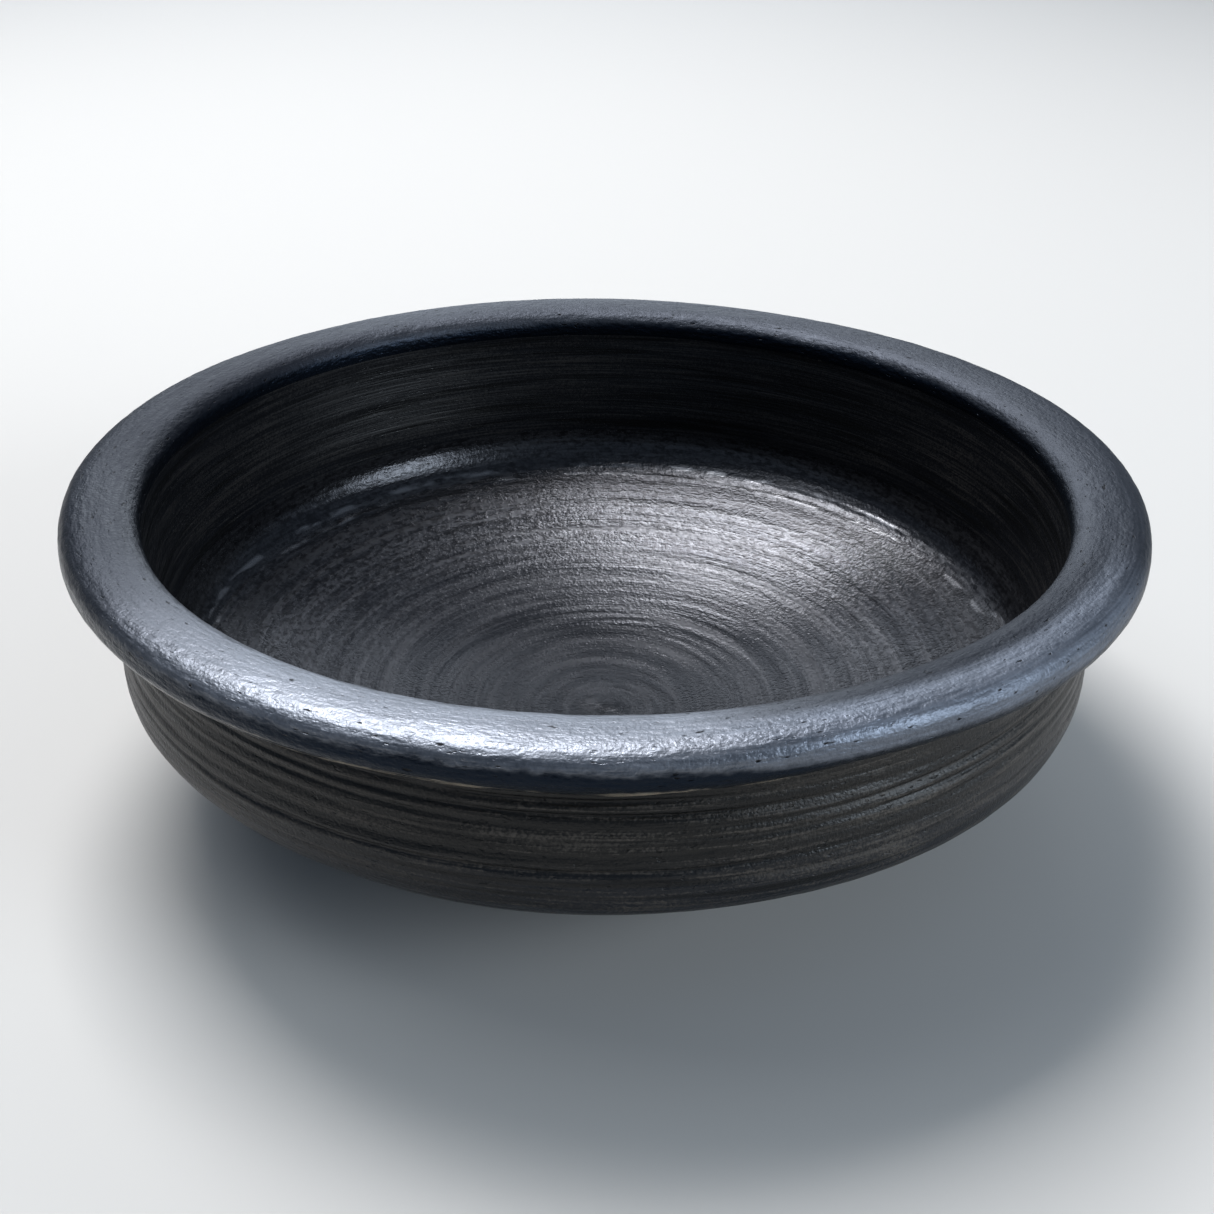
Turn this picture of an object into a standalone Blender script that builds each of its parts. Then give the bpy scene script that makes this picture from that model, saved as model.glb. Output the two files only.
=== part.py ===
"""A wide, round-bottomed cooking pot of burnished black earthenware.

The pot is built as a potter builds it: a beaten disc for the middle of the base, a broad band of clay
around it, a heavy coil at the shoulder, three coils for the upright wall, a thin coil worked into the
inside corner, and a thick coil rolled over for the rim. Each member is one closed solid of revolution.
Neighbours meet on long slanting seams, cupped so that the upper member sits over the lower one, and a
hairline of slip thickness stays open between them. Metres, +Z up, resting on z = 0.
"""
import math

import bmesh
import bpy
from mathutils import Vector

# Driving dimensions.
RIM_RADIUS = 0.150
ROLL_HEIGHT = 0.0858
ROLL_HALF_WIDTH = 0.0123
ROLL_HALF_THICKNESS = 0.0075
ROLL_TILT = math.radians(11.8)
SHOULDER_RADIUS = 0.1381
SHOULDER_HEIGHT = 0.0485
SHOULDER_ROUNDING = 0.0099
NECK_RADIUS = 0.1345
INNER_WALL_RADIUS = 0.1268
FOOT_RADIUS = 0.045
FLOOR_THICKNESS = 0.0083
FLOOR_RADIUS = 0.1178
FLOOR_RISE = 0.0270

# Tooled grooves around the wall.
GROOVE_COUNT = 8
GROOVE_PITCH = 0.0034
LOWEST_GROOVE = 0.0510
GROOVE_DEPTH = 0.0006

# Seams between the clay members.
SLIP_GAP = 0.0003
SEAM_CUP = 0.0012
SEAM_RISE = 0.0042
SEAM_POINTS = 4
DISC_SEAM_OUTSIDE = 0.30
DISC_SEAM_INSIDE_RADIUS = 0.062
BASE_SEAM_OUTSIDE = 0.96
TONGUE_CUP = 0.0022

# The coil worked into the inside corner.
CORNER_COIL_DEPTH = 0.0030
CORNER_COIL_EDGE = 0.0007

SEGMENTS = 56

ROLL_CENTRE_RADIUS = RIM_RADIUS - math.hypot(
    ROLL_HALF_WIDTH * math.cos(ROLL_TILT), ROLL_HALF_THICKNESS * math.sin(ROLL_TILT))
NECK_ANGLE = math.radians(-113.5)
MOUTH_ANGLE = math.radians(197.0)
FLOOR_SLOPE = math.atan(2.0 * FLOOR_RISE / FLOOR_RADIUS)
CORNER_ROUNDING = (INNER_WALL_RADIUS - FLOOR_RADIUS) / (1.0 - math.sin(FLOOR_SLOPE))
FLOOR_EDGE_HEIGHT = FLOOR_THICKNESS + FLOOR_RISE
WALL_START_HEIGHT = FLOOR_EDGE_HEIGHT + CORNER_ROUNDING * math.cos(FLOOR_SLOPE)
UNDERSIDE_ANGLE = math.radians(-50.0)


def clear_scene():
    for thing in list(bpy.data.objects):
        bpy.data.objects.remove(thing, do_unlink=True)


def steps(start, end, count):
    """Evenly spaced values from start to end, both included."""
    return [start + (end - start) * index / (count - 1) for index in range(count)]


# Outside skin: each function gives a point (radius, height).

def underside_point(along):
    """The rounded underside, from the edge of the foot (0) up to the shoulder (1)."""
    foot = Vector((FOOT_RADIUS, 0.0))
    foot_handle = Vector((0.075, 0.0006))
    shoulder = shoulder_point(UNDERSIDE_ANGLE)
    tangent = Vector((math.sin(UNDERSIDE_ANGLE), -math.cos(UNDERSIDE_ANGLE)))
    shoulder_handle = shoulder + tangent * 0.030
    back = 1.0 - along
    return (back ** 3 * foot + 3 * back ** 2 * along * foot_handle
            + 3 * back * along ** 2 * shoulder_handle + along ** 3 * shoulder)


def shoulder_point(angle):
    """The rounded shoulder; angle 0 is its widest point."""
    centre = SHOULDER_RADIUS - SHOULDER_ROUNDING
    return Vector((centre + SHOULDER_ROUNDING * math.cos(angle),
                   SHOULDER_HEIGHT + SHOULDER_ROUNDING * math.sin(angle)))


def wall_point(height, depth=0.0):
    """The upright wall, which swells from the neck down to the shoulder."""
    neck_height = roll_point(NECK_ANGLE).y
    down = (neck_height - height) / (neck_height - SHOULDER_HEIGHT)
    swell = 3 * down ** 2 - 2 * down ** 3
    return Vector((NECK_RADIUS + (SHOULDER_RADIUS - NECK_RADIUS) * swell - depth, height))


def roll_point(angle):
    """The rolled rim, an ellipse in section with its outer edge tipped up."""
    wide = ROLL_HALF_WIDTH * math.cos(angle)
    thick = ROLL_HALF_THICKNESS * math.sin(angle)
    return Vector((ROLL_CENTRE_RADIUS + wide * math.cos(ROLL_TILT) - thick * math.sin(ROLL_TILT),
                   ROLL_HEIGHT + wide * math.sin(ROLL_TILT) + thick * math.cos(ROLL_TILT)))


def grooved_wall(first, last):
    """Wall points from groove number first up to groove number last, ridges between them."""
    points = []
    for half_pitch in range(2 * first, 2 * last + 1):
        height = LOWEST_GROOVE + GROOVE_PITCH * half_pitch / 2
        points.append(wall_point(height, GROOVE_DEPTH if half_pitch % 2 == 0 else 0.0))
    return points


# Inside skin.

def floor_point(radius):
    return Vector((radius, FLOOR_THICKNESS + FLOOR_RISE * (radius / FLOOR_RADIUS) ** 2))


def corner_point(angle):
    """The rounded inside corner; its angle runs from the floor's slope up to upright."""
    centre = Vector((INNER_WALL_RADIUS - CORNER_ROUNDING, WALL_START_HEIGHT))
    return centre + CORNER_ROUNDING * Vector((math.sin(angle), -math.cos(angle)))


def inner_wall_point(height):
    return Vector((INNER_WALL_RADIUS, height))


# Seams.

def seam(outside, inside, cup=SEAM_CUP):
    """A seam from the outside skin to the inside skin, bowed upwards by cup."""
    outside, inside = Vector(outside), Vector(inside)
    run = inside - outside
    bow = Vector((run.y, -run.x)).normalized() * cup
    return [outside + run * part + bow * math.sin(math.pi * part)
            for part in steps(0.0, 1.0, SEAM_POINTS + 1)]


def beside(line, distance):
    """The line moved sideways, to the left of its direction when distance is positive."""
    moved = []
    for index, point in enumerate(line):
        before = line[max(index - 1, 0)]
        after = line[min(index + 1, len(line) - 1)]
        along = (after - before).normalized()
        moved.append(point + Vector((-along.y, along.x)) * distance)
    return moved


def below(line):
    """The face that the lower member keeps on a seam that runs inwards."""
    return beside(line, SLIP_GAP / 2)


def above(line):
    """The face that the upper member keeps, turned to run outwards."""
    return list(reversed(beside(line, -SLIP_GAP / 2)))


def disc_seam():
    return seam(underside_point(DISC_SEAM_OUTSIDE), floor_point(DISC_SEAM_INSIDE_RADIUS))


def corner_bed():
    """The bed that the corner coil lies in, from the floor's edge out and up to the wall."""
    middle = (FLOOR_SLOPE + math.pi / 2) / 2
    low_edge = corner_point(FLOOR_SLOPE)
    low_step = low_edge + Vector((math.sin(FLOOR_SLOPE), -math.cos(FLOOR_SLOPE))) * CORNER_COIL_EDGE
    deepest = corner_point(middle) + Vector((math.sin(middle), -math.cos(middle))) * CORNER_COIL_DEPTH
    high_edge = corner_point(math.pi / 2)
    high_step = high_edge + Vector((CORNER_COIL_EDGE, 0.0))
    return [low_edge, low_step, deepest, high_step, high_edge]


def base_seam():
    return seam(underside_point(BASE_SEAM_OUTSIDE), corner_bed()[2])


def wall_seam(groove):
    outside = wall_point(LOWEST_GROOVE + GROOVE_PITCH * groove, GROOVE_DEPTH)
    return seam(outside, inner_wall_point(outside.y + SEAM_RISE))


def neck_seam():
    return seam(roll_point(NECK_ANGLE), roll_point(MOUTH_ANGLE), TONGUE_CUP)


# Clay members.

def clay_finish(name, colour, roughness):
    finish = bpy.data.materials.new(name)
    finish.use_nodes = True
    shader = finish.node_tree.nodes["Principled BSDF"]
    shader.inputs["Base Color"].default_value = (*colour, 1.0)
    shader.inputs["Roughness"].default_value = roughness
    shader.inputs["Metallic"].default_value = 0.0
    finish.diffuse_color = (*colour, 1.0)
    return finish


def turned_member(name, outline, finish):
    """One closed solid, its outline spun round the pot's axis. It stands at its own lowest height."""
    low = min(point.y for point in outline)
    mesh = bmesh.new()
    section = [mesh.verts.new((point.x, 0.0, point.y - low)) for point in outline]
    edges = [mesh.edges.new(pair) for pair in zip(section, section[1:])]
    on_axis = outline[0].x == 0.0 and outline[-1].x == 0.0
    if not on_axis:
        edges.append(mesh.edges.new((section[-1], section[0])))
    bmesh.ops.spin(mesh, geom=section + edges, cent=(0, 0, 0), axis=(0, 0, 1),
                   angle=math.tau, steps=SEGMENTS, use_merge=True)
    bmesh.ops.remove_doubles(mesh, verts=mesh.verts, dist=1e-6)
    bmesh.ops.recalc_face_normals(mesh, faces=mesh.faces)
    for face in mesh.faces:
        face.smooth = True
    data = bpy.data.meshes.new(name)
    mesh.to_mesh(data)
    mesh.free()
    data.materials.append(finish)
    member = bpy.data.objects.new(name, data)
    member.location = (0.0, 0.0, low)
    bpy.context.scene.collection.objects.link(member)
    return member


def base_disc():
    """The middle of the base, with the flattened foot that the pot stands on."""
    foot = [Vector((0.0, 0.0)), Vector((FOOT_RADIUS * 0.5, 0.0))]
    underside = [underside_point(along) for along in steps(0.0, DISC_SEAM_OUTSIDE, 4)][:-1]
    floor = [floor_point(radius) for radius in steps(DISC_SEAM_INSIDE_RADIUS, 0.0, 6)][1:]
    outline = foot + underside + below(disc_seam()) + floor
    return turned_member("base_disc", outline, clay_finish("disc_clay", (0.085, 0.088, 0.095), 0.42))


def base_band():
    """The broad band of clay that carries the rounded base out to the shoulder."""
    underside = [underside_point(along) for along in steps(DISC_SEAM_OUTSIDE, BASE_SEAM_OUTSIDE, 6)][1:-1]
    bed = beside(corner_bed(), -SLIP_GAP / 2)
    floor = [floor_point(radius) for radius in steps(FLOOR_RADIUS, DISC_SEAM_INSIDE_RADIUS, 6)][1:-1]
    outline = underside + below(base_seam())[:-1] + [bed[1], bed[0]] + floor + above(disc_seam())
    return turned_member("base_band", outline, clay_finish("band_clay", (0.090, 0.093, 0.102), 0.40))


def shoulder_coil():
    """The heavy coil at the shoulder, where the rounded base turns up into the wall."""
    rounding = [shoulder_point(angle) for angle in steps(UNDERSIDE_ANGLE, 0.0, 4)]
    bed = beside(corner_bed(), -SLIP_GAP / 2)
    outline = rounding + below(wall_seam(0)) + [bed[4], bed[3]] + above(base_seam())[1:]
    return turned_member("shoulder_coil", outline, clay_finish("shoulder_clay", (0.050, 0.052, 0.060), 0.36))


def wall_coil(name, lower_groove, upper_groove, finish):
    """One wall coil, between the seams in two of the grooves."""
    outside = grooved_wall(lower_groove, upper_groove)[1:-1]
    outline = outside + below(wall_seam(upper_groove)) + above(wall_seam(lower_groove))
    return turned_member(name, outline, finish)


def neck_coil():
    """The top wall coil, whose upper edge is a rounded tongue that the rim sits over."""
    outside = grooved_wall(6, GROOVE_COUNT - 1)[1:]
    outline = outside + below(neck_seam()) + above(wall_seam(6))
    return turned_member("neck_coil", outline, clay_finish("neck_clay", (0.070, 0.068, 0.062), 0.55))


def rim_coil():
    """The thick coil rolled over the top of the wall."""
    roll = [roll_point(angle) for angle in steps(NECK_ANGLE, MOUTH_ANGLE, 18)][1:-1]
    outline = roll + above(neck_seam())
    return turned_member("rim_coil", outline, clay_finish("rim_clay", (0.130, 0.136, 0.155), 0.30))


def corner_coil():
    """The thin coil worked into the inside corner, over the seam of base and shoulder."""
    visible = [corner_point(angle) for angle in steps(math.pi / 2, FLOOR_SLOPE, 6)][1:-1]
    outline = beside(corner_bed(), SLIP_GAP / 2) + visible
    return turned_member("corner_coil", outline, clay_finish("corner_clay", (0.100, 0.100, 0.105), 0.38))


def build_pot():
    clear_scene()
    base_disc()
    base_band()
    shoulder_coil()
    corner_coil()
    wall_coil("lower_wall_coil", 0, 3, clay_finish("lower_wall_clay", (0.055, 0.056, 0.060), 0.42))
    wall_coil("upper_wall_coil", 3, 6, clay_finish("upper_wall_clay", (0.065, 0.064, 0.060), 0.48))
    neck_coil()
    rim_coil()


build_pot()
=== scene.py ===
"""The looks of a wide bowl-shaped pot of burnished black clay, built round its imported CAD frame."""
import functools
import math

import bpy
import numpy as np
from mathutils import Matrix, Vector


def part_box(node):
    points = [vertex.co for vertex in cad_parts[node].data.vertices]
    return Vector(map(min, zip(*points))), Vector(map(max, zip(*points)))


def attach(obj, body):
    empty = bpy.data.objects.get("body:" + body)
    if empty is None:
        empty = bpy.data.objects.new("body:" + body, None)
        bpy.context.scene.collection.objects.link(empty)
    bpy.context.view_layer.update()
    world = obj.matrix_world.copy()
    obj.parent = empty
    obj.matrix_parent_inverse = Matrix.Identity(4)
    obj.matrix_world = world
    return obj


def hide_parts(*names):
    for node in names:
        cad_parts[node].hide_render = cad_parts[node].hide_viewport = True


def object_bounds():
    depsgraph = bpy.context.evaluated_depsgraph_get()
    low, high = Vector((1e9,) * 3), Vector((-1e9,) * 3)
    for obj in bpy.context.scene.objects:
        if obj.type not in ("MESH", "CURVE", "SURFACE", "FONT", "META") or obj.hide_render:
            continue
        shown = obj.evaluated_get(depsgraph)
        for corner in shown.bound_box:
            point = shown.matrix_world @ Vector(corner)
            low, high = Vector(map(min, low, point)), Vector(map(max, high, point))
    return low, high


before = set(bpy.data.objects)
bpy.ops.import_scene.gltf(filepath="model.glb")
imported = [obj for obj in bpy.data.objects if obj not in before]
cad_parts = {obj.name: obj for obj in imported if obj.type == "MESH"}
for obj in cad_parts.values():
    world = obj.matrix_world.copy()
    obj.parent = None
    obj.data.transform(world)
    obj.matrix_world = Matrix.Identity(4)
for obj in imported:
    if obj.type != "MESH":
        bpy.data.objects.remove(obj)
cad_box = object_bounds()

# Sizes, from the frame and from the pot's own proportions. Metres, +Z up.
RIM_RADIUS = (cad_box[1][0] - cad_box[0][0]) / 2
ROLL_CENTRE_RADIUS = 0.9367 * RIM_RADIUS
ROLL_OUTER_WIDTH = RIM_RADIUS - ROLL_CENTRE_RADIUS
ROLL_INNER_WIDTH = 0.0747 * RIM_RADIUS
ROLL_ABOVE = 0.0440 * RIM_RADIUS
ROLL_BELOW = 0.0390 * RIM_RADIUS
ROLL_SQUARENESS_ABOVE = 2.8
ROLL_SQUARENESS_BELOW = 2.4
ROLL_TILT = math.radians(1.5)
ROLL_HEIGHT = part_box("rim_coil")[1][2] - 0.0470 * RIM_RADIUS
ROLL_EDGE_ANGLE = math.radians(-54.0)
NECK_ANGLE = math.radians(-123.0)
MOUTH_ANGLE = math.radians(197.0)
ROLL_LENGTH = 0.066
BURR_HEIGHT = 0.00022
BURR_SPREAD = math.radians(7.0)
DRAW_LENGTH = 0.012
CALM_LENGTH = 0.0012
SHOULDER_RADIUS = 0.9250 * RIM_RADIUS
SHOULDER_HEIGHT = 0.3220 * RIM_RADIUS
SHOULDER_ROUNDING = 0.0700 * RIM_RADIUS
UNDERSIDE_ANGLE = math.radians(-50.0)
UNDERSIDE_LENGTH = 0.70 * RIM_RADIUS
UNDERSIDE_STEER = 0.030
FOOT_RADIUS = 0.3000 * RIM_RADIUS
FOOT_SWEEP_RADIUS = 0.5000 * RIM_RADIUS
FOOT_SWEEP_HEIGHT = 0.0006
INNER_WALL_RADIUS = 0.8450 * RIM_RADIUS
FLOOR_RADIUS = 0.7850 * RIM_RADIUS
FLOOR_THICKNESS = 0.0553 * RIM_RADIUS
FLOOR_RISE = 0.1800 * RIM_RADIUS
FLOOR_SLOPE = math.atan(2.0 * FLOOR_RISE / FLOOR_RADIUS)
DISC_RADIUS = 0.062
GROOVE_PITCH = 0.0034
LOWEST_GROOVE = 0.0510
LOWER_COIL_TOP_GROOVE = 3
UPPER_COIL_TOP_GROOVE = 6
GROOVE_DEPTH = 0.00040
GROOVE_DEPTH_CHANGE = 0.00022
GROOVE_WOBBLE = 0.00032
SLANT_SHARE = 1.7
SEAM_CUP = 0.0012
BASE_SEAM_CUP = 0.0008
NECK_TONGUE = 0.0022
SEAM_RISE = 0.0042
SLIP_GAP = 0.0002
BED_DEPTH = 0.0030
BASE_SEAM = 0.96
DISC_SEAM = 0.30
HOLE_RADIUS = 0.0015
FOOT_HOLE_RADIUS = 0.004
LIP_WIDTH = 0.0008

SEGMENTS = 720
ROW = 0.0007
TURN = np.arange(SEGMENTS) * math.tau / SEGMENTS
MARK_STEPS = 512
SEAM_STEPS = 7
BED_STEPS = 8
FOOT_STEPS = 12

# Lengths of stretches of skin, which set how many rows they get. The underside gets fewer.
DISC_BOTTOM_LENGTH = 0.016
BAND_BOTTOM_LENGTH = 0.022
SHOULDER_BOTTOM_LENGTH = 0.005
SHOULDER_CURVE_LENGTH = 0.012
SHOULDER_TOP_LENGTH = 0.004
SHOULDER_INSIDE_LENGTH = 0.006
CORNER_LENGTH = 0.024


# The hand's wobble and the tool's marks are smooth seeded functions of the angle round the pot.

@functools.cache
def waves(turns):
    """Sine and cosine rows that run round the pot, up to that many waves in one turn."""
    rows = [np.ones(SEGMENTS)]
    for turn in range(1, turns + 1):
        rows += [math.sqrt(2) * np.cos(turn * TURN), math.sqrt(2) * np.sin(turn * TURN)]
    return np.stack(rows)


@functools.cache
def chances(turns, seed):
    """Random weights for waves(turns), in MARK_STEPS steps across the marks."""
    rows = 2 * turns + 1
    return np.random.default_rng(seed).normal(size=(rows, MARK_STEPS)) / math.sqrt(rows)


def eased(part):
    """Turns an even run from 0 to 1 into one that starts and stops softly."""
    return part * part * (3 - 2 * part)


def limited(part):
    """Keeps a share between 0 and 1."""
    return min(1.0, max(0.0, part))


def marks(across, width, turns, seed):
    """Noise of about unit size, in marks of that width in metres, that closes on itself."""
    spot = np.broadcast_to(across, (SEGMENTS,)) / width
    cell = np.floor(spot).astype(int)
    part = eased(spot - cell)
    table = chances(turns, seed)
    rows = table[:, cell % MARK_STEPS] * (1 - part) + table[:, (cell + 1) % MARK_STEPS] * part
    return np.sum(rows * waves(turns), axis=0)


def wander(turns, seed):
    """A gentle wave round the pot, with two or more swings in a turn."""
    rng = np.random.default_rng(seed)
    swings = [rng.normal() / turn * np.cos(turn * TURN + rng.uniform(0, math.tau))
              for turn in range(2, turns + 2)]
    return sum(swings)


def near(degrees, spread):
    """1 at an angle round the pot, fading to 0 on both sides of it."""
    away = (TURN - math.radians(degrees) + math.pi) % math.tau - math.pi
    return np.exp(-(away / math.radians(spread)) ** 2)


PINCH = near(-66, 13)
ROUNDNESS = 0.0016 * wander(4, 1)
ROLL_SWELL = 1.0 + 0.025 * wander(9, 2) - 0.10 * PINCH
ROLL_LIFT = 0.0004 * wander(5, 3) + 0.0012 * PINCH
WALL_DRIFT = 0.0004 * wander(6, 4)


def place(radius, height):
    """A section point at every angle round the pot, as rows of (radius, height)."""
    radius = np.broadcast_to(radius, (SEGMENTS,))
    height = np.broadcast_to(height, (SEGMENTS,))
    return np.stack([radius * (1.0 + ROUNDNESS), height], axis=1)


def steps(start, end, length):
    """Even steps from start to end over a stretch of that length in metres."""
    return np.linspace(start, end, max(3, round(length / ROW)))


# The rolled rim.

def roll_section(angle, swell=1.0, proud=0.0):
    """The roll's outline: pressed flat on top, tight at its edges and rounder underneath."""
    east, north = math.cos(angle), math.sin(angle)
    square = ROLL_SQUARENESS_ABOVE if north > 0 else ROLL_SQUARENESS_BELOW
    full = (abs(east) ** square + abs(north) ** square) ** (-1 / square)
    half_width = ROLL_OUTER_WIDTH if east > 0 else ROLL_INNER_WIDTH
    half_thickness = ROLL_ABOVE if north > 0 else ROLL_BELOW
    across = (half_width * swell + proud) * full * east
    up = (half_thickness * swell + proud) * full * north
    radius = ROLL_CENTRE_RADIUS + across * math.cos(ROLL_TILT) - up * math.sin(ROLL_TILT)
    return radius, ROLL_HEIGHT + across * math.sin(ROLL_TILT) + up * math.cos(ROLL_TILT)


def roll_point(angle):
    """The roll's skin, with the flats, ripples and grain that burnishing left on it."""
    around = angle * ROLL_OUTER_WIDTH
    flats = 0.00006 * marks(around, 0.0050, 12, 11) + 0.000025 * marks(around, 0.0017, 60, 12)
    grain = 0.000022 * marks(around, 0.0009, 150, 13)
    burr = BURR_HEIGHT * np.clip(1.0 + 0.7 * marks(0.0, 0.01, 40, 14), 0.0, 2.0)
    burr = burr * math.exp(-((angle - ROLL_EDGE_ANGLE) / BURR_SPREAD) ** 2)
    radius, height = roll_section(angle, ROLL_SWELL, flats + grain + burr)
    return place(radius, height + ROLL_LIFT)


NECK_RADIUS, NECK_HEIGHT = roll_section(NECK_ANGLE)
MOUTH_RADIUS, MOUTH_HEIGHT = roll_section(MOUTH_ANGLE)
CORNER_ROUNDING = (INNER_WALL_RADIUS - FLOOR_RADIUS) / (1.0 - math.sin(FLOOR_SLOPE))
WALL_START = FLOOR_THICKNESS + FLOOR_RISE + CORNER_ROUNDING * math.cos(FLOOR_SLOPE)


def drawn_to_roll(point, height, angle):
    """Bends the top of a wall's skin so that it meets the roll's own skin at that angle."""
    radius, top = roll_section(angle)
    share = eased(limited(1.0 - (top - height) / DRAW_LENGTH))
    return point + share * (roll_point(angle) - place(radius, top))


def calm_under_roll(height, top):
    """Fades a wall's marks out just under the roll."""
    return limited((top - height) / CALM_LENGTH)


# The outside skin. along is the distance up from the shoulder's widest line.

def outside_marks(along):
    """Scraping lines, then a broader handmade unevenness."""
    fine = 0.00007 * marks(along, 0.0010, 14, 23) + 0.00003 * marks(along, 0.0007, 70, 24)
    return fine + 0.00012 * marks(along, 0.0070, 7, 25)


def groove_marks(height):
    """Depth of the tooled grooves: each wanders, deepens and fades as it goes round."""
    wobble = GROOVE_WOBBLE * marks(height, 0.0050, 5, 21)
    spot = (height - LOWEST_GROOVE + wobble) / GROOVE_PITCH
    shape = (0.5 + 0.5 * np.cos(math.tau * spot)) ** 2
    depth = GROOVE_DEPTH + GROOVE_DEPTH_CHANGE * marks(height, 0.0034, 6, 22)
    start = limited((height - LOWEST_GROOVE) / GROOVE_PITCH + 0.5)
    return start * shape * np.clip(depth, 0.00003, 0.0009)


def wall_point(height):
    """The upright wall, from the shoulder's widest line up to the neck under the roll."""
    down = limited((NECK_HEIGHT - height) / (NECK_HEIGHT - SHOULDER_HEIGHT))
    swell = eased(down)
    radius = NECK_RADIUS + (SHOULDER_RADIUS - NECK_RADIUS) * swell
    relief = outside_marks(height - SHOULDER_HEIGHT) - groove_marks(height)
    point = place(radius + relief * calm_under_roll(height, NECK_HEIGHT), height + WALL_DRIFT * down)
    return drawn_to_roll(point, height, NECK_ANGLE)


def shoulder_point(angle):
    """The rounded shoulder; angle 0 is its widest line."""
    size = SHOULDER_ROUNDING + outside_marks(SHOULDER_ROUNDING * angle)
    return place(SHOULDER_RADIUS - SHOULDER_ROUNDING + size * math.cos(angle),
                 SHOULDER_HEIGHT + size * math.sin(angle) + WALL_DRIFT)


def underside_point(part):
    """The rounded underside, from the foot's edge (0) up to the shoulder (1)."""
    end = np.array([SHOULDER_RADIUS - SHOULDER_ROUNDING * (1 - math.cos(UNDERSIDE_ANGLE)),
                    SHOULDER_HEIGHT + SHOULDER_ROUNDING * math.sin(UNDERSIDE_ANGLE)])
    steer = end + UNDERSIDE_STEER * np.array([math.sin(UNDERSIDE_ANGLE), -math.cos(UNDERSIDE_ANGLE)])
    start = np.array([FOOT_RADIUS, 0.0])
    flat = np.array([FOOT_SWEEP_RADIUS, FOOT_SWEEP_HEIGHT])
    back = 1.0 - part
    spot = (back ** 3 * start + 3 * back ** 2 * part * flat
            + 3 * back * part ** 2 * steer + part ** 3 * end)
    run = (back ** 2 * (flat - start) + 2 * back * part * (steer - flat)
           + part ** 2 * (end - steer))
    run = run / np.linalg.norm(run)
    relief = outside_marks(SHOULDER_ROUNDING * UNDERSIDE_ANGLE - back * UNDERSIDE_LENGTH)
    relief = relief * min(1.0, 8 * part)
    return place(spot[0] + relief * run[1], spot[1] - relief * run[0] + WALL_DRIFT * part ** 3)


# The inside skin. along is the distance from the middle of the floor.

# Each lip at the floor's edge: its distance beyond the edge, its height and its seed.
LIPS = ((0.0, 0.00013, 71), (0.0042, 0.00010, 72))


def inside_marks(along):
    """Rings left by wiping the floor and the wall, and the lips where the corner was worked in."""
    spiral = along + 0.0016 * wander(3, 44)
    wiped = 0.00004 * marks(spiral, 0.0058, 4, 41) + 0.000035 * marks(spiral, 0.0021, 5, 42)
    wiped = wiped + 0.000012 * marks(spiral, 0.0010, 7, 43)
    relief = min(1.0, abs(along) / 0.02) * wiped
    for beyond, high, seed in LIPS:
        centre = FLOOR_RADIUS + beyond + 0.0004 * wander(7, seed)
        strength = np.clip(2.0 * marks(beyond, 0.02, 24, seed + 10), 0.0, 1.4)
        relief = relief + high * strength * np.exp(-((along - centre) / LIP_WIDTH) ** 2)
    return relief


def floor_point(radius):
    """The dished floor, from the middle out to its edge."""
    slope = math.atan(2.0 * FLOOR_RISE * radius / FLOOR_RADIUS ** 2)
    height = FLOOR_THICKNESS + FLOOR_RISE * (radius / FLOOR_RADIUS) ** 2
    relief = inside_marks(radius)
    return place(radius - relief * math.sin(slope), height + relief * math.cos(slope))


def corner_point(angle):
    """The rounded inside corner; its angle runs from the floor's slope up to a right angle."""
    centre = INNER_WALL_RADIUS - CORNER_ROUNDING
    size = CORNER_ROUNDING - inside_marks(FLOOR_RADIUS + CORNER_ROUNDING * (angle - FLOOR_SLOPE))
    return place(centre + size * math.sin(angle), WALL_START - size * math.cos(angle))


def inner_wall_point(height):
    """The inside of the wall, from the inside corner up to the mouth."""
    along = FLOOR_RADIUS + CORNER_ROUNDING * (math.pi / 2 - FLOOR_SLOPE) + height - WALL_START
    relief = inside_marks(along) * calm_under_roll(height, MOUTH_HEIGHT)
    flare = eased(limited((height - WALL_START) / (MOUTH_HEIGHT - WALL_START)))
    radius = INNER_WALL_RADIUS + (MOUTH_RADIUS - INNER_WALL_RADIUS) * flare
    return drawn_to_roll(place(radius - relief, height), height, MOUTH_ANGLE)


# Seams between the clay members. Both neighbours share a seam's two ends.

LOWER = -1
UPPER = 1


def seam(outside, inside, cup, side):
    """A bowed seam from the outside skin to the inside skin, on the lower or the upper member."""
    run = inside - outside
    bow = np.stack([run[:, 1], -run[:, 0]], axis=1) / np.linalg.norm(run, axis=1, keepdims=True)
    return [outside + run * part + bow * (cup + side * SLIP_GAP) * math.sin(math.pi * part)
            for part in np.linspace(0.0, 1.0, SEAM_STEPS)]


def wall_seam(groove, side):
    """The seam in the bottom of that groove, counted from the lowest."""
    height = LOWEST_GROOVE + GROOVE_PITCH * groove
    return seam(wall_point(height), inner_wall_point(height + SEAM_RISE), SEAM_CUP, side)


def neck_seam(side):
    return seam(roll_point(NECK_ANGLE), roll_point(MOUTH_ANGLE), NECK_TONGUE, side)


def disc_seam(side):
    return seam(underside_point(DISC_SEAM), floor_point(DISC_RADIUS), SEAM_CUP, side)


def corner_bed(part, side):
    """The corner coil's hidden bed, from the floor's edge (0) to the foot of the wall (1)."""
    angle = FLOOR_SLOPE + (math.pi / 2 - FLOOR_SLOPE) * part
    deep = (BED_DEPTH - side * SLIP_GAP) * math.sin(math.pi * part)
    return corner_point(angle) + deep * np.array([math.sin(angle), -math.cos(angle)])


def base_seam(side):
    return seam(underside_point(BASE_SEAM), corner_bed(0.5, LOWER), BASE_SEAM_CUP, side)


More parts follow.
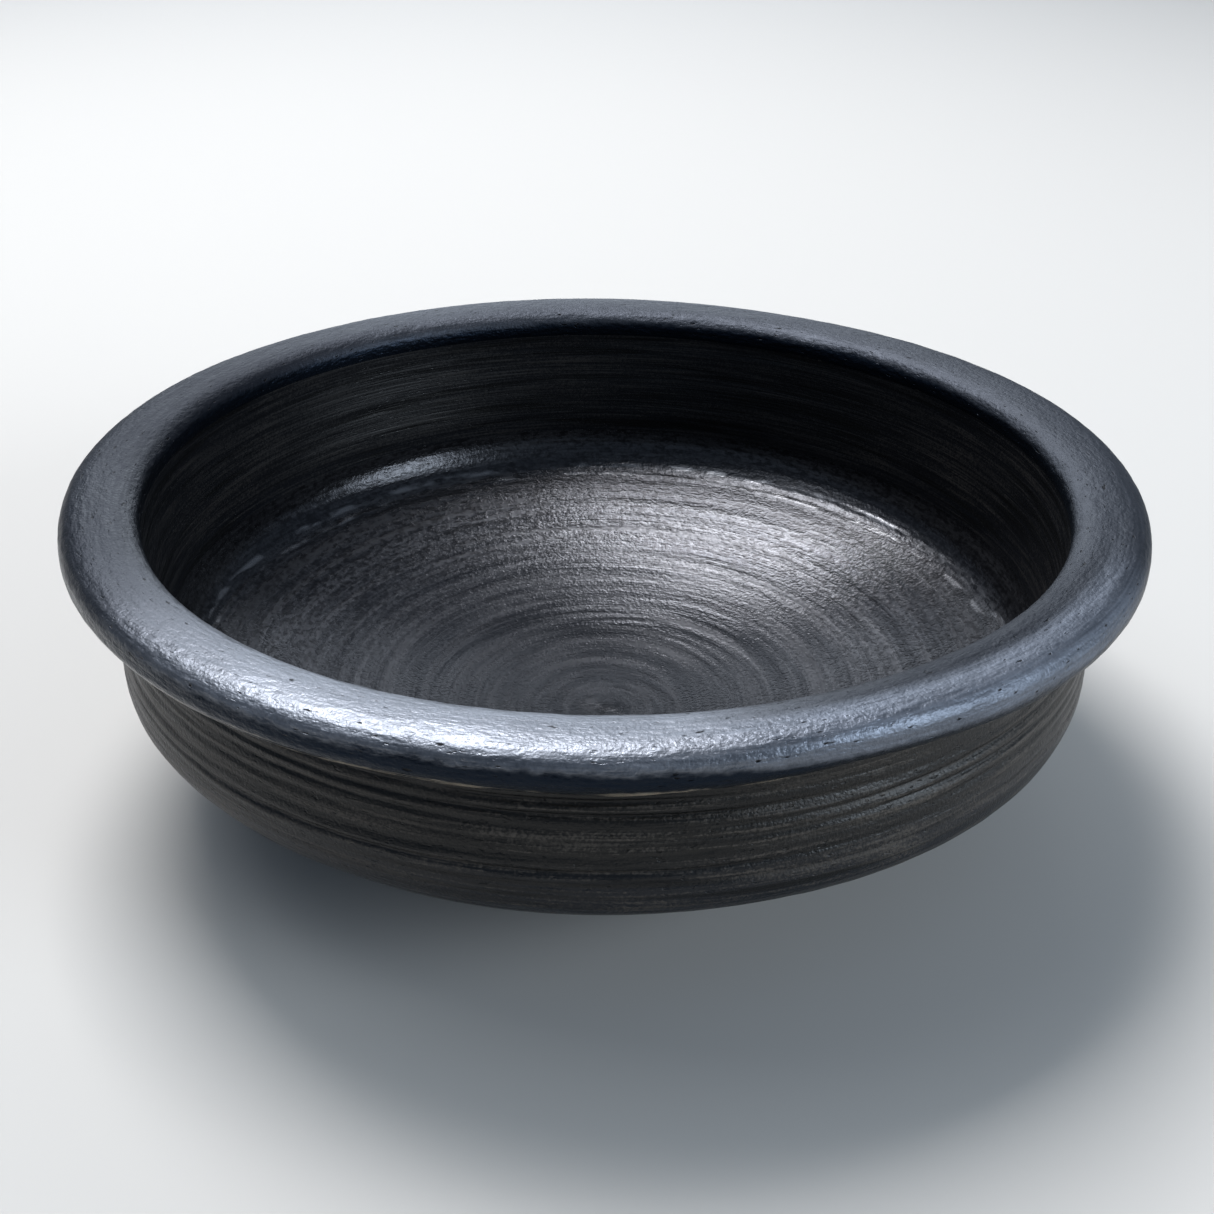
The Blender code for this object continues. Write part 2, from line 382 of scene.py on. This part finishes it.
# Meshes. A stretch is a run of section points, with the skin's normals where it shows.

def turned(points):
    """The section points of every angle, set in their places round the pot."""
    section = np.stack(points)
    return np.stack([section[:, :, 0] * np.cos(TURN), section[:, :, 0] * np.sin(TURN),
                     section[:, :, 1]], axis=2)


def skin(function, start, end, length):
    """A visible stretch. Its normals look past both ends, so that they carry on over a seam."""
    values = steps(start, end, length)
    pitch = values[1] - values[0]
    points = [function(value) for value in (start - pitch, *values, end + pitch)]
    spots = turned(points)
    up = spots[2:] - spots[:-2]
    round_pot = np.roll(spots[1:-1], -1, axis=1) - np.roll(spots[1:-1], 1, axis=1)
    normals = np.cross(round_pot, up)
    normals /= np.linalg.norm(normals, axis=2, keepdims=True)
    return points[1:-1], normals


def hidden(points):
    """A stretch that doesn't show. It takes the mesh's own normals."""
    return points, np.zeros((len(points), SEGMENTS, 3))


def same(first, second):
    """True if two section points meet."""
    return np.abs(first - second).max() < 1e-6


def bands(first, second):
    """The four-sided faces between two rings of vertices that start at these numbers."""
    here = np.arange(SEGMENTS)
    after = (here + 1) % SEGMENTS
    return np.stack([first + here, first + after, second + after, second + here], axis=1)


def band_normals(first, second):
    """The normals of the corners of those faces."""
    after = np.roll(first, -1, axis=0), np.roll(second, -1, axis=0)
    return np.stack([first, after[0], after[1], second], axis=1)


def rings(stretches):
    """Vertex rings, faces and corner normals of stretches that follow one another."""
    rows, faces, normals = [], [], []
    for points, stretch_normals in stretches:
        for index, point in enumerate(points):
            if not rows or not same(point, rows[-1]):
                rows.append(point)
            row = len(rows) - 1
            if index:
                faces.append((before, row))
                normals.append(band_normals(stretch_normals[index - 1], stretch_normals[index]))
            before = row
    if same(rows[0], rows[-1]):
        rows.pop()
    faces = [bands(first * SEGMENTS, second % len(rows) * SEGMENTS) for first, second in faces]
    return (turned(rows).reshape(-1, 3).tolist(), np.concatenate(faces).tolist(),
            np.concatenate(normals).reshape(-1, 3).tolist())


def close_at_axis(shape, bottom, top):
    """Adds the faces that close a disc's two ends at the axis, at these heights."""
    vertices, faces, normals = shape
    last = len(vertices) - SEGMENTS
    low = len(vertices)
    vertices += [(0, 0, bottom), (0, 0, top)]
    for step in range(SEGMENTS):
        after = (step + 1) % SEGMENTS
        faces += [(low, after, step), (low + 1, last + step, last + after)]
    normals += [(0, 0, 0)] * (6 * SEGMENTS)
    return vertices, faces, normals


def make_piece(name, shape, node, slot):
    """A mesh object in the frame, in place of that CAD node."""
    vertices, faces, normals = shape
    mesh = bpy.data.meshes.new(name)
    mesh.from_pydata(vertices, [], faces)
    mesh.shade_smooth()
    mesh.normals_split_custom_set(normals)
    piece = bpy.data.objects.new(name, mesh)
    bpy.context.scene.collection.objects.link(piece)
    piece.data.materials.append(MATERIALS[slot])
    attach(piece, "root")
    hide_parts(node)


def base_disc_section():
    flat = [place(radius, 0.0)
            for radius in np.linspace(FOOT_HOLE_RADIUS, FOOT_RADIUS, FOOT_STEPS)]
    return [hidden(flat), skin(underside_point, 0.0, DISC_SEAM, DISC_BOTTOM_LENGTH),
            hidden(disc_seam(LOWER)),
            skin(floor_point, DISC_RADIUS, HOLE_RADIUS, DISC_RADIUS)]


def base_band_section():
    bed = [corner_bed(part, LOWER) for part in np.linspace(0.5, 0.0, BED_STEPS)]
    return [skin(underside_point, DISC_SEAM, BASE_SEAM, BAND_BOTTOM_LENGTH),
            hidden(base_seam(LOWER)), hidden(bed),
            skin(floor_point, FLOOR_RADIUS, DISC_RADIUS, FLOOR_RADIUS - DISC_RADIUS),
            hidden(disc_seam(UPPER)[::-1])]


def shoulder_section():
    bed = [corner_bed(part, LOWER) for part in np.linspace(1.0, 0.5, BED_STEPS)]
    return [skin(underside_point, BASE_SEAM, 1.0, SHOULDER_BOTTOM_LENGTH),
            skin(shoulder_point, UNDERSIDE_ANGLE, 0.0, SHOULDER_CURVE_LENGTH),
            skin(wall_point, SHOULDER_HEIGHT, LOWEST_GROOVE, SHOULDER_TOP_LENGTH),
            hidden(wall_seam(0, LOWER)),
            skin(inner_wall_point, LOWEST_GROOVE + SEAM_RISE, WALL_START,
                 SHOULDER_INSIDE_LENGTH),
            hidden(bed), hidden(base_seam(UPPER)[::-1])]


def corner_section():
    bed = [corner_bed(part, UPPER) for part in np.linspace(0.0, 1.0, 2 * BED_STEPS)]
    return [hidden(bed), skin(corner_point, math.pi / 2, FLOOR_SLOPE, CORNER_LENGTH)]


def wall_section(low, high):
    bottom = LOWEST_GROOVE + GROOVE_PITCH * low
    top = LOWEST_GROOVE + GROOVE_PITCH * high
    return [skin(wall_point, bottom, top, SLANT_SHARE * (top - bottom)),
            hidden(wall_seam(high, LOWER)),
            skin(inner_wall_point, top + SEAM_RISE, bottom + SEAM_RISE, top - bottom),
            hidden(wall_seam(low, UPPER)[::-1])]


def neck_section():
    bottom = LOWEST_GROOVE + UPPER_COIL_TOP_GROOVE * GROOVE_PITCH
    return [skin(wall_point, bottom, NECK_HEIGHT, SLANT_SHARE * (NECK_HEIGHT - bottom)),
            hidden(neck_seam(LOWER)),
            skin(inner_wall_point, MOUTH_HEIGHT, bottom + SEAM_RISE, MOUTH_HEIGHT - bottom),
            hidden(wall_seam(UPPER_COIL_TOP_GROOVE, UPPER)[::-1])]


def rim_section():
    return [skin(roll_point, NECK_ANGLE, MOUTH_ANGLE, ROLL_LENGTH),
            hidden(neck_seam(UPPER)[::-1])]


# Materials.

# Colours, as linear red, green and blue, and alpha.
# The rim's lustre colours below are painted sheen, glint and shade: bright at the front and on the
# right's outer half, dark on the left and on the right's inner half.
FRONT_PAINTED_SHEEN = (0.200, 0.213, 0.240, 1)
FAR_LUSTRE = (0.048, 0.053, 0.064, 1)
LEFT_PAINTED_SHADE = (0.015, 0.017, 0.023, 1)
RIGHT_INNER_PAINTED_SHADE = (0.024, 0.027, 0.034, 1)
RIGHT_OUTER_PAINTED_GLINT = (0.160, 0.178, 0.212, 1)
# Painted shade on the roll's underside.
UNDER_ROLL_PAINTED_SHADE = (0.006, 0.011, 0.020, 1)
ROLL_SHADE = (0.014, 0.016, 0.021, 1)
NICK_BLACK = (0.006, 0.006, 0.007, 1)
# Painted reflection of the warm floor, on the roll's lower edge.
PAINTED_FLOOR_REFLECTION_TAN = (0.330, 0.275, 0.205, 1)
LOW_WALL_BLACK = (0.0055, 0.0070, 0.0100, 1)
HIGH_WALL_BLACK = (0.0070, 0.0062, 0.0052, 1)
# Painted shade inside the wall.
INNER_WALL_PAINTED_SHADE = (0.0025, 0.0030, 0.0045, 1)
WORN_BROWN = (0.062, 0.054, 0.046, 1)
# Painted shade in grooves and hollows.
HOLLOW_PAINTED_SHADE = (0.002, 0.002, 0.002, 1)
# Painted reflection of the warm floor, where the underside starts.
PAINTED_FLOOR_REFLECTION_OLIVE = (0.100, 0.096, 0.078, 1)
FLOOR_DARK = (0.011, 0.012, 0.016, 1)
FLOOR_LIGHT = (0.088, 0.089, 0.096, 1)
MOTTLE_BLACK = (0.009, 0.009, 0.011, 1)
# Painted shade in the floor's middle.
MIDDLE_PAINTED_SHADE = (0.014, 0.015, 0.018, 1)
# Painted shade near the floor's edge.
EDGE_PAINTED_SHADE = (0.014, 0.014, 0.016, 1)
# Painted highlight on the lips.
LIP_PAINTED_HIGHLIGHT = (0.150, 0.150, 0.158, 1)


class Clay:
    """A node material, with short ways to add its nodes."""

    def __init__(self, name):
        self.material = bpy.data.materials.new(name)
        self.material.use_nodes = True
        self.tree = self.material.node_tree
        self.shader = self.tree.nodes["Principled BSDF"]
        split = self.tree.nodes.new("ShaderNodeSeparateXYZ")
        self.spot = self.tree.nodes.new("ShaderNodeTexCoord").outputs["Object"]
        self.tree.links.new(self.spot, split.inputs[0])
        east, north, self.height = split.outputs
        self.radius = self.math("SQRT", self.math("ADD", self.math("MULTIPLY", east, east),
                                                  self.math("MULTIPLY", north, north)))
        safe = self.math("MAXIMUM", self.radius, 0.001)
        self.cosine = self.math("DIVIDE", east, safe)
        self.sine = self.math("DIVIDE", north, safe)

    def put(self, socket, value):
        """Links another node's output to a socket, or sets the socket's own value."""
        if isinstance(value, bpy.types.NodeSocket):
            self.tree.links.new(value, socket)
        else:
            socket.default_value = value

    def math(self, operation, first, second=0.0, third=0.0):
        """The output of a node that works that out."""
        node = self.tree.nodes.new("ShaderNodeMath")
        node.operation = operation
        for socket, value in zip(node.inputs, (first, second, third)):
            self.put(socket, value)
        return node.outputs[0]

    def total(self, *values):
        """The sum of all the values."""
        result = values[0]
        for value in values[1:]:
            result = self.math("ADD", result, value)
        return result

    def fit(self, value, low, high, to_low, to_high):
        """Maps low..high to to_low..to_high smoothly, and stops at both ends."""
        node = self.tree.nodes.new("ShaderNodeMapRange")
        node.interpolation_type = "SMOOTHSTEP"
        for socket, number in zip(node.inputs[:5], (value, low, high, to_low, to_high)):
            self.put(socket, number)
        return node.outputs[0]

    def streak(self, length, width, seed, detail=2.0):
        """Noise in streaks of that length round the pot and that width across, in metres."""
        turns = RIM_RADIUS / length
        vector = self.tree.nodes.new("ShaderNodeCombineXYZ")
        self.put(vector.inputs[0], self.math("MULTIPLY", self.cosine, turns))
        self.put(vector.inputs[1], self.math("MULTIPLY", self.sine, turns))
        self.put(vector.inputs[2], self.math("MULTIPLY", self.radius, 1.0 / width))
        noise = self.tree.nodes.new("ShaderNodeTexNoise")
        noise.noise_dimensions = "4D"
        self.put(noise.inputs["Vector"], vector.outputs[0])
        self.put(noise.inputs["W"], self.math("MULTIPLY_ADD", self.height, 1.0 / width, seed))
        self.put(noise.inputs["Scale"], 1.0)
        self.put(noise.inputs["Detail"], detail)
        return noise.outputs[0]

    def grain(self, size, seed, detail=2.0):
        """Noise in round spots of that size in metres."""
        noise = self.tree.nodes.new("ShaderNodeTexNoise")
        noise.noise_dimensions = "4D"
        self.put(noise.inputs["Vector"], self.spot)
        self.put(noise.inputs["W"], seed)
        self.put(noise.inputs["Scale"], 1.0 / size)
        self.put(noise.inputs["Detail"], detail)
        return noise.outputs[0]

    def towards(self, degrees):
        """1 on the side of the pot at that angle from +X, -1 on the far side."""
        angle = math.radians(degrees)
        return self.math("MULTIPLY_ADD", self.cosine, math.cos(angle),
                         self.math("MULTIPLY", self.sine, math.sin(angle)))

    def specks(self, length, width, share, seed):
        """1 in small drawn-out dark specks, 0 elsewhere."""
        return self.fit(self.streak(length, width, seed, 1.0), share, share + 0.10, 1.0, 0.0)

    def blend(self, share, first, second):
        """The first colour where share is 0, and the second where it is 1."""
        node = self.tree.nodes.new("ShaderNodeMix")
        node.data_type = "RGBA"
        self.put(node.inputs[0], share)
        self.put(node.inputs[6], first)
        self.put(node.inputs[7], second)
        return node.outputs[2]

    def relief(self, height):
        """Bump from a height in metres."""
        node = self.tree.nodes.new("ShaderNodeBump")
        self.put(node.inputs["Strength"], 1.0)
        self.put(node.inputs["Distance"], 1.0)
        self.put(node.inputs["Height"], height)
        self.put(self.shader.inputs["Normal"], node.outputs[0])

    def finish(self, colour, roughness, lustre, gloss):
        """The finished material. lustre is its metallic share and gloss its index of refraction."""
        self.put(self.shader.inputs["Base Color"], colour)
        self.put(self.shader.inputs["Roughness"], roughness)
        self.put(self.shader.inputs["Metallic"], lustre)
        self.put(self.shader.inputs["IOR"], gloss)
        return self.material


def rim_clay():
    """Stone-burnished skin: a blue-grey graphite lustre over streaky orange peel, with a few nicks.
    Its colour round the pot is painted light: a painted sheen makes the front brightest and the far
    side duller, painted shade darkens the left and the roll's underside, and on the right a painted
    glint lights the outer half while painted shade darkens the inner half. A broken tan line along
    the roll's lower edge is a painted reflection of the warm floor. The relief's heights are in
    metres here and in the other two materials."""
    clay = Clay("rim_clay")
    peel = clay.streak(0.0028, 0.0012, 3.1)
    lines = clay.streak(0.020, 0.0007, 7.7)
    patches = clay.grain(0.016, 1.3)
    fine = clay.grain(0.0008, 5.5)
    nicks = clay.specks(0.0030, 0.0009, 0.23, 6.2)
    clay.relief(clay.total(clay.math("MULTIPLY", peel, 0.00030),
                           clay.math("MULTIPLY", lines, 0.00007),
                           clay.math("MULTIPLY", fine, 0.00014),
                           clay.math("MULTIPLY", nicks, -0.00016)))
    # Painted sheen and shade: the front gets a bright lustre and the far side a duller one, the left
    # is darkened, and on the right a painted glint lights the outer half while painted shade darkens
    # the inner half.
    front_sheen = clay.fit(clay.towards(-120), 0.3, 0.95, 0.0, 1.0)
    left = clay.fit(clay.towards(178), 0.45, 0.95, 0.0, 1.0)
    ragged = clay.math("MULTIPLY_ADD", clay.math("ADD", peel, patches), 0.0022, clay.height)
    right = clay.fit(clay.towards(-52), 0.84, 0.98, 0.0, 1.0)
    # Painted shade: below this line the roll's underside turns dark navy; on the right front the line
    # sits lower so the painted glint reaches further down.
    above_under_shade = clay.fit(clay.math("MULTIPLY_ADD", right, 0.0020, ragged),
                       ROLL_HEIGHT + 0.0034, ROLL_HEIGHT + 0.0058, 0.0, 1.0)
    body = clay.blend(front_sheen, FAR_LUSTRE, FRONT_PAINTED_SHEEN)
    body = clay.blend(left, body, LEFT_PAINTED_SHADE)
    outer = clay.fit(clay.radius, 0.915 * RIM_RADIUS, 0.950 * RIM_RADIUS, 0.0, 1.0)
    face = clay.blend(outer, RIGHT_INNER_PAINTED_SHADE, RIGHT_OUTER_PAINTED_GLINT)
    body = clay.blend(right, body, face)
    body = clay.blend(above_under_shade, UNDER_ROLL_PAINTED_SHADE, body)
    tone = clay.total(clay.math("MULTIPLY", lines, 0.7), clay.math("MULTIPLY", fine, 0.5),
                      clay.math("MULTIPLY", patches, 0.4))
    colour = clay.blend(clay.fit(tone, 0.55, 1.0, 0.45, 0.0), body, ROLL_SHADE)
    colour = clay.blend(nicks, colour, NICK_BLACK)
    # Painted reflection: a broken tan line along the roll's lower edge stands for the warm floor
    # caught there, with less metal.
    low = clay.fit(ragged, ROLL_HEIGHT - 0.0010, ROLL_HEIGHT + 0.0002, 1.0, 0.0)
    broken = clay.fit(clay.math("ADD", patches, lines), 0.92, 1.15, 0.0, 0.9)
    floor_reflection = clay.math("MULTIPLY", low, broken)
    colour = clay.blend(floor_reflection, colour, PAINTED_FLOOR_REFLECTION_TAN)
    dull = clay.math("MULTIPLY_ADD", above_under_shade, 0.14, clay.fit(front_sheen, 0.0, 0.6, 0.10, 0.0))
    roughness = clay.math("ADD", dull, clay.fit(clay.math("MULTIPLY_ADD", peel, 0.5, lines),
                                                0.5, 1.0, 0.24, 0.36))
    lustre = clay.fit(floor_reflection, 0.0, 0.6, 0.9, 0.1)
    return clay.finish(colour, roughness, lustre, 1.5)


def wall_clay():
    """Hand-smoothed skin, nearly black and faintly brown, with fine worn lines outside. Painted shade
    makes the inside much darker and darkens the grooves and the hollows of the broad streaks, and an
    olive band where the underside starts is a painted reflection of the warm floor."""
    clay = Clay("wall_clay")
    lines = clay.streak(0.030, 0.0006, 2.2)
    broad = clay.streak(0.060, 0.0024, 4.4)
    patches = clay.grain(0.022, 8.1)
    fine = clay.grain(0.0007, 6.5)
    nicks = clay.specks(0.0025, 0.0008, 0.26, 1.7)
    outside = clay.fit(clay.radius, INNER_WALL_RADIUS + 0.0035, INNER_WALL_RADIUS + 0.0055, 0.2, 1.0)
    clay.relief(clay.total(clay.math("MULTIPLY", lines, 0.00012),
                           clay.math("MULTIPLY", broad, 0.00014),
                           clay.math("MULTIPLY", clay.math("MULTIPLY", fine, outside), 0.00020),
                           clay.math("MULTIPLY", clay.math("MULTIPLY", nicks, outside), -0.00014)))
    warm = clay.fit(clay.height, SHOULDER_HEIGHT - 0.002, SHOULDER_HEIGHT + 0.012, 0.0, 1.0)
    body = clay.blend(warm, LOW_WALL_BLACK, HIGH_WALL_BLACK)
    # Painted shade: the inside of the wall is made much darker than the outside.
    body = clay.blend(outside, INNER_WALL_PAINTED_SHADE, body)
    tone = clay.total(clay.math("MULTIPLY", lines, 0.75), clay.math("MULTIPLY", broad, 0.55),
                      clay.math("MULTIPLY", fine, 0.60))
    worn = clay.math("MULTIPLY", clay.fit(tone, 0.90, 1.16, 0.0, 1.0),
                     clay.fit(patches, 0.35, 0.65, 0.5, 1.0))
    worn = clay.math("MULTIPLY", worn, outside)
    colour = clay.blend(worn, body, WORN_BROWN)
    # Painted shade: dark in the hollows of the broad streaks, and below along every tooled groove.
    colour = clay.blend(clay.fit(broad, 0.36, 0.46, 0.8, 0.0), colour, HOLLOW_PAINTED_SHADE)
    turn = clay.math("MULTIPLY", clay.math("SUBTRACT", clay.height, LOWEST_GROOVE),
                     math.tau / GROOVE_PITCH)
    groove = clay.math("MULTIPLY", clay.fit(clay.math("COSINE", turn), 0.0, 0.8, 0.0, 1.0),
                       clay.fit(broad, 0.40, 0.62, 0.95, 0.25))
    grooved = clay.fit(clay.height, SHOULDER_HEIGHT - 0.008, SHOULDER_HEIGHT, 0.0, 1.0)
    groove = clay.math("MULTIPLY", groove, clay.math("MULTIPLY", grooved, outside))
    colour = clay.blend(groove, colour, HOLLOW_PAINTED_SHADE)
    # Painted reflection: an olive band just under the shoulder stands for the warm floor seen in the
    # underside.
    low = clay.fit(clay.height, SHOULDER_HEIGHT - 0.0130, SHOULDER_HEIGHT - 0.0060, 0.8, 0.0)
    colour = clay.blend(clay.math("MULTIPLY", low, outside), colour, PAINTED_FLOOR_REFLECTION_OLIVE)
    roughness = clay.fit(tone, 0.7, 1.2, 0.29, 0.50)
    return clay.finish(colour, roughness, 0.0, 1.36)


def floor_clay():
    """Wiped skin: soft curved bands in grey-black, mottled where the wiping dragged near the wall,
    with painted shade in the middle and in a ring near the edge, and painted highlights along the
    lips.
    """
    clay = Clay("floor_clay")
    wipes = clay.streak(0.160, 0.0040, 9.2)
    lines = clay.streak(0.080, 0.0009, 3.9)
    drags = clay.streak(0.0040, 0.0012, 5.3)
    patches = clay.grain(0.030, 2.8)
    fine = clay.grain(0.0009, 7.4)
    spots = clay.grain(0.0016, 8.8)
    edge = clay.fit(clay.radius, 0.30 * RIM_RADIUS, 0.76 * RIM_RADIUS, 0.15, 1.0)
    mottle = clay.fit(clay.math("MULTIPLY_ADD", drags, 0.6, clay.math("MULTIPLY", spots, 0.4)),
                      0.40, 0.56, 0.90, 0.0)
    mottle = clay.math("MULTIPLY", mottle, edge)
    clay.relief(clay.total(clay.math("MULTIPLY", wipes, 0.00012),
                           clay.math("MULTIPLY", lines, 0.00006),
                           clay.math("MULTIPLY", drags, 0.00005),
                           clay.math("MULTIPLY", fine, 0.00010),
                           clay.math("MULTIPLY", mottle, -0.00002)))
    tone = clay.total(clay.math("MULTIPLY", lines, 0.6), clay.math("MULTIPLY", wipes, 0.6),
                      clay.math("MULTIPLY", fine, 0.5), clay.math("MULTIPLY", patches, 0.2))
    colour = clay.blend(clay.fit(tone, 0.65, 1.25, 0.0, 1.0), FLOOR_DARK, FLOOR_LIGHT)
    colour = clay.blend(mottle, colour, MOTTLE_BLACK)
    # Painted shade: the floor's middle is darker.
    middle = clay.fit(clay.radius, 0.15 * RIM_RADIUS, 0.60 * RIM_RADIUS, 0.5, 0.0)
    colour = clay.blend(middle, colour, MIDDLE_PAINTED_SHADE)
    # Painted shade: a darker ring near the floor's edge, by the inside corner.
    edge_shade = clay.fit(clay.radius, 0.66 * RIM_RADIUS, 0.76 * RIM_RADIUS, 0.0, 0.50)
    colour = clay.blend(edge_shade, colour, EDGE_PAINTED_SHADE)
    # Painted highlight: broken light lines along the lips' ridges.
    for beyond, _, seed in LIPS:
        away = clay.math("ABSOLUTE", clay.math("SUBTRACT", clay.radius, FLOOR_RADIUS + 0.8 * beyond))
        lip = clay.math("MULTIPLY", clay.fit(away, 0.0002, 0.0012, 1.0, 0.0),
                        clay.fit(clay.streak(0.012, 0.004, seed), 0.48, 0.62, 0.0, 0.8))
        colour = clay.blend(lip, colour, LIP_PAINTED_HIGHLIGHT)
    roughness = clay.fit(clay.math("MULTIPLY_ADD", drags, 0.5, wipes), 0.5, 1.0, 0.20, 0.30)
    return clay.finish(colour, roughness, 0.7, 1.5)


MATERIALS = {"rim_clay": rim_clay(), "wall_clay": wall_clay(), "floor_clay": floor_clay()}

for name, section, node, slot in (
        ("rim_roll", rim_section(), "rim_coil", "rim_clay"),
        ("neck_ring", neck_section(), "neck_coil", "wall_clay"),
        ("upper_wall_ring", wall_section(LOWER_COIL_TOP_GROOVE, UPPER_COIL_TOP_GROOVE),
         "upper_wall_coil", "wall_clay"),
        ("lower_wall_ring", wall_section(0, LOWER_COIL_TOP_GROOVE), "lower_wall_coil", "wall_clay"),
        ("shoulder_ring", shoulder_section(), "shoulder_coil", "wall_clay"),
        ("inside_corner", corner_section(), "corner_coil", "floor_clay"),
        ("base_bowl", base_band_section(), "base_band", "floor_clay")):
    make_piece(name, rings(section), node, slot)
make_piece("base_centre", close_at_axis(rings(base_disc_section()), 0.0, FLOOR_THICKNESS),
           "base_disc", "floor_clay")


# Floor, light and camera.

PAPER = (0.50, 0.485, 0.46, 1)
SKY_BLUE = (0.56, 0.74, 1.0, 1)
SKY_STRENGTH = 0.25
FLOOR_HALF_SIZE = 6.0
FLOOR_DROP = 0.0003
CAMERA_DISTANCE = 3 * RIM_RADIUS
CAMERA_ELEVATION = 0.4252
CAMERA_DIP = 0.0816
CAMERA_YAW = 0.0017
CAMERA_LEAN = 0.0114
CAMERA_LENS = 46.375

# Each lamp: name, azimuth from +X and elevation in degrees, distance, size, power, colour.
LAMPS = (("window_light", 123, 65, 2.2, 1.0, 65, (0.98, 0.98, 1.0)),
         ("left_light", 165, 66, 2.2, 1.4, 14, (0.88, 0.94, 1.0)),
         ("side_light", -27, 20, 2.2, 0.9, 32, (0.80, 0.90, 1.0)),
         ("back_light", 96, 22, 2.6, 1.8, 22, (0.85, 0.92, 1.0)))


def studio_floor():
    """A pale, matt floor just under the foot."""
    mesh = bpy.data.meshes.new("studio_floor")
    size = FLOOR_HALF_SIZE
    mesh.from_pydata([(-size, -size, 0), (size, -size, 0), (size, size, 0), (-size, size, 0)],
                     [], [(0, 1, 2, 3)])
    floor = bpy.data.objects.new("studio_floor", mesh)
    floor.location.z = -FLOOR_DROP
    bpy.context.scene.collection.objects.link(floor)
    paper = bpy.data.materials.new("paper")
    paper.use_nodes = True
    shader = paper.node_tree.nodes["Principled BSDF"]
    shader.inputs["Base Color"].default_value = PAPER
    shader.inputs["Roughness"].default_value = 0.9
    shader.inputs["Specular IOR Level"].default_value = 0.1
    mesh.materials.append(paper)


def soft_light(name, azimuth, elevation, distance, size, power, colour):
    """A square light that looks at the pot from that azimuth and elevation."""
    azimuth = math.radians(azimuth)
    elevation = math.radians(elevation)
    light = bpy.data.lights.new(name, "AREA")
    light.size = size
    light.energy = power
    light.color = colour
    lamp = bpy.data.objects.new(name, light)
    bpy.context.scene.collection.objects.link(lamp)
    away = Vector((math.cos(azimuth) * math.cos(elevation), math.sin(azimuth) * math.cos(elevation),
                   math.sin(elevation)))
    lamp.location = away * distance + Vector((0, 0, ROLL_HEIGHT))
    lamp.rotation_euler = away.to_track_quat("Z", "Y").to_euler()


def sky(colour, strength):
    """An even, dim light from everywhere."""
    world = bpy.data.worlds.new("sky")
    bpy.context.scene.world = world
    world.use_nodes = True
    background = world.node_tree.nodes["Background"]
    background.inputs["Color"].default_value = colour
    background.inputs["Strength"].default_value = strength


def camera():
    """Three rim radii from the middle of the rim, and looking a little lower than its middle."""
    pitch = CAMERA_ELEVATION + CAMERA_DIP
    ahead = Vector((math.sin(CAMERA_YAW) * math.cos(pitch), math.cos(CAMERA_YAW) * math.cos(pitch),
                    -math.sin(pitch)))
    right = Vector((math.cos(CAMERA_YAW), -math.sin(CAMERA_YAW), 0))
    up = right.cross(ahead)
    turned_right = right * math.cos(CAMERA_LEAN) + up * math.sin(CAMERA_LEAN)
    turned_up = up * math.cos(CAMERA_LEAN) - right * math.sin(CAMERA_LEAN)
    eye = bpy.data.objects.new("camera", bpy.data.cameras.new("camera"))
    eye.data.sensor_width = 36.0
    eye.data.lens = CAMERA_LENS
    spot = Vector((0, -CAMERA_DISTANCE * math.cos(CAMERA_ELEVATION),
                   ROLL_HEIGHT + CAMERA_DISTANCE * math.sin(CAMERA_ELEVATION)))
    pose = Matrix((turned_right, turned_up, -ahead)).transposed().to_4x4()
    pose.translation = spot
    eye.matrix_world = pose
    eye.data.clip_start = 0.01
    bpy.context.scene.collection.objects.link(eye)
    bpy.context.scene.camera = eye


studio_floor()
for lamp_settings in LAMPS:
    soft_light(*lamp_settings)
sky(SKY_BLUE, SKY_STRENGTH)
camera()
bpy.context.scene.view_settings.view_transform = "Standard"
